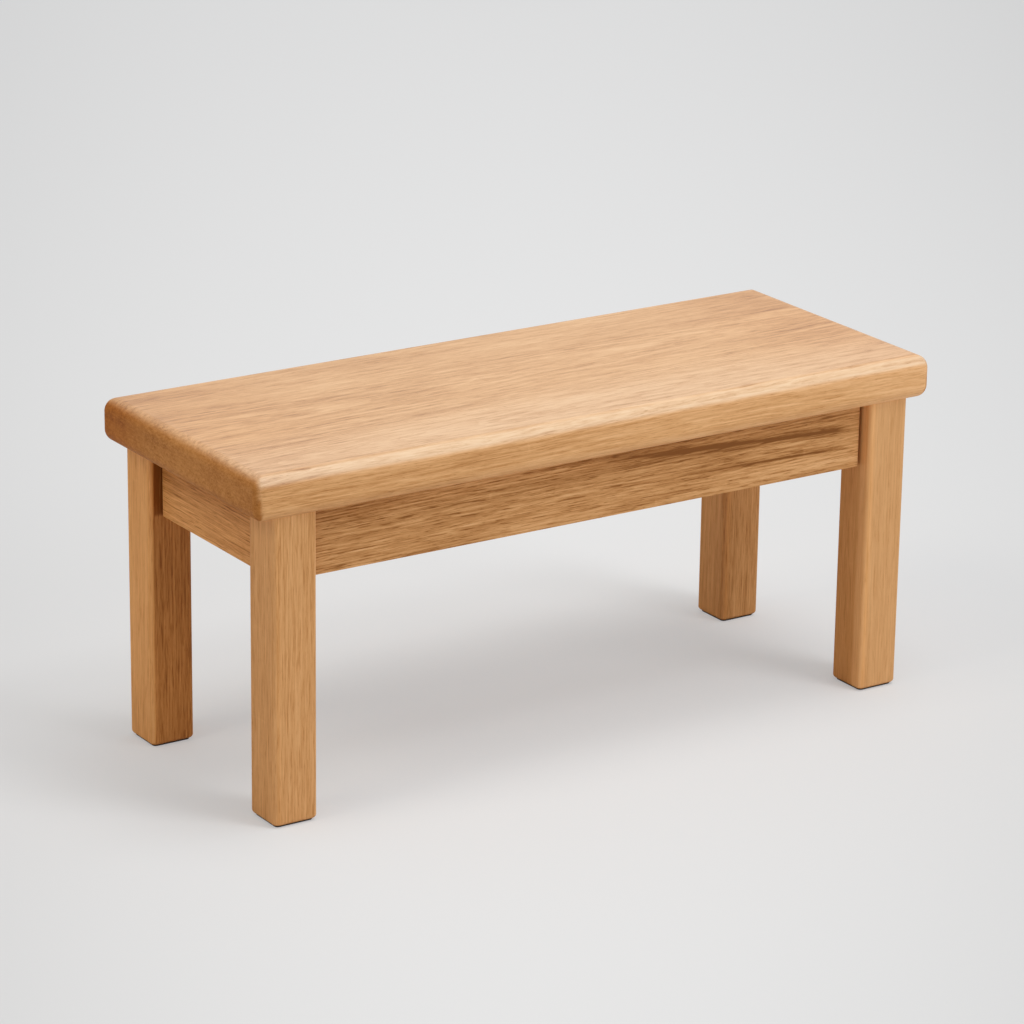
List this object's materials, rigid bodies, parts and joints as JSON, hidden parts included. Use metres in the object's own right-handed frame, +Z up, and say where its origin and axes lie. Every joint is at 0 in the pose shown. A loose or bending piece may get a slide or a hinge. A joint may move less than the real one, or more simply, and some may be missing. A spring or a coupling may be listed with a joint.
{
  "type": "wooden bench",
  "caption": "Low solid oak bench: thick seat with rounded edges on square legs joined by set-back aprons, with corner braces and top fixings underneath.",
  "frame": {"origin": "on the floor, under the middle of the bench", "axes": "+X along the bench to its right end, +Y to its back, +Z up"},
  "size_m": [1, 0.386, 0.45],
  "materials": {
    "oak_seat": "clear matt oil on fine-sanded oak, the lightest tone on the seat's top",
    "oak_frame": "clear matt oil on fine-sanded oak, a little darker than the seat",
    "beech": "bare planed beech",
    "dark_felt": "dense dark brown needle felt",
    "zinc_steel": "zinc-plated steel"
  },
  "bodies": {
    "root": {"seat_board_front": "oak_seat", "seat_board_middle": "oak_seat", "seat_board_rear": "oak_seat", "front_left_leg": "oak_frame", "front_right_leg": "oak_frame", "rear_left_leg": "oak_frame", "rear_right_leg": "oak_frame", "front_apron": "oak_frame", "rear_apron": "oak_frame", "left_apron": "oak_frame", "right_apron": "oak_frame", "front_left_corner_brace": "beech", "front_right_corner_brace": "beech", "rear_left_corner_brace": "beech", "rear_right_corner_brace": "beech", "front_left_top_button": "beech", "front_middle_top_button": "beech", "front_right_top_button": "beech", "rear_left_top_button": "beech", "rear_middle_top_button": "beech", "rear_right_top_button": "beech", "left_end_top_button": "beech", "right_end_top_button": "beech", "apron_dowels": "beech", "front_left_foot_pad": "dark_felt", "front_right_foot_pad": "dark_felt", "rear_left_foot_pad": "dark_felt", "rear_right_foot_pad": "dark_felt", "hanger_bolts": "zinc_steel", "hanger_washers": "zinc_steel", "hanger_nuts": "zinc_steel", "brace_screws": "zinc_steel", "button_screws": "zinc_steel"}
  },
  "joints": []
}
